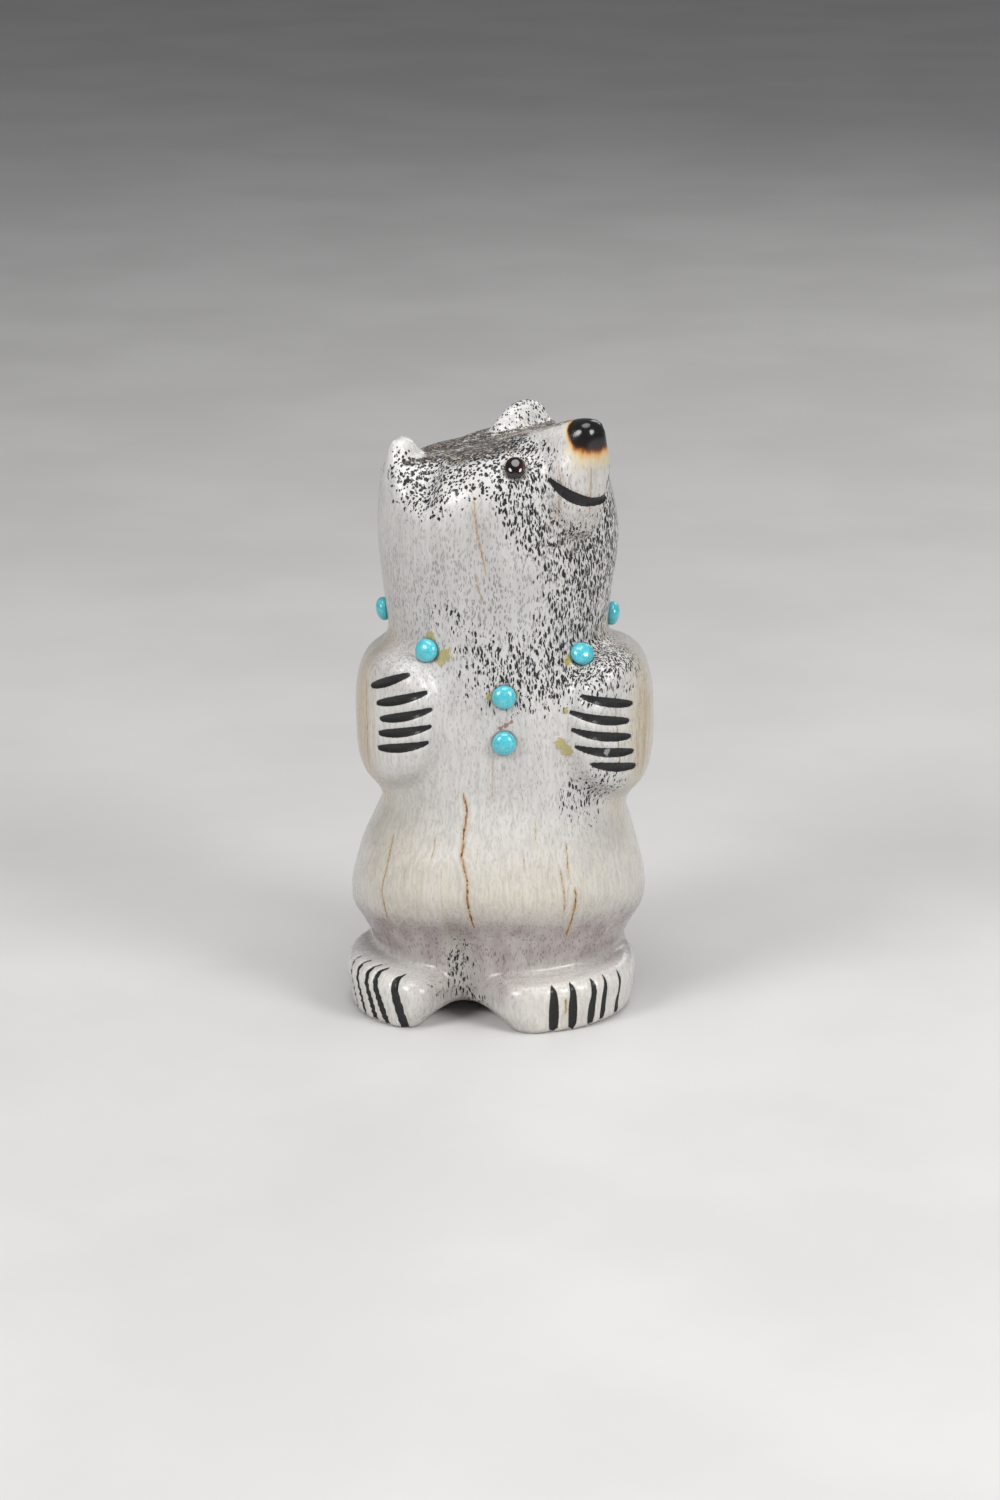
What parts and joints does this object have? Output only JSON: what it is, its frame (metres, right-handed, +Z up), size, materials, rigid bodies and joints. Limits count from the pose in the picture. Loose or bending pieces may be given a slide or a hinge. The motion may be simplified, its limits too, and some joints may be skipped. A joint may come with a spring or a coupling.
{
  "type": "zuni bear fetish",
  "caption": "Standing bear carved from antler, looking up to its left, with set turquoise beads, dark set eyes, cut claws and a flat sole that it stands on by its own weight.",
  "frame": {"origin": "centre of the bear's own bounding box, at the height of its flat sole", "axes": "+Z up through the head, -Y is the side that the bear's chest and feet face, +X is the bear's left, to which its head is turned"},
  "size_m": [0.0384, 0.0348, 0.0762],
  "materials": {
    "antler": "polished ivory-white rind over grey porous core, with brown age cracks and black in the cuts",
    "turquoise": "polished domed beads",
    "eye_stone": "dark red-black, mirror polished"
  },
  "bodies": {
    "root": {"antler_bear": "antler", "bead_front_upper": "turquoise", "bead_front_lower": "turquoise", "bead_chest_left": "turquoise", "bead_chest_right": "turquoise", "bead_side_left": "turquoise", "bead_side_right": "turquoise", "bead_back_left": "turquoise", "bead_back_right": "turquoise", "bead_nape": "turquoise", "eye_left": "eye_stone", "eye_right": "eye_stone"}
  },
  "joints": []
}
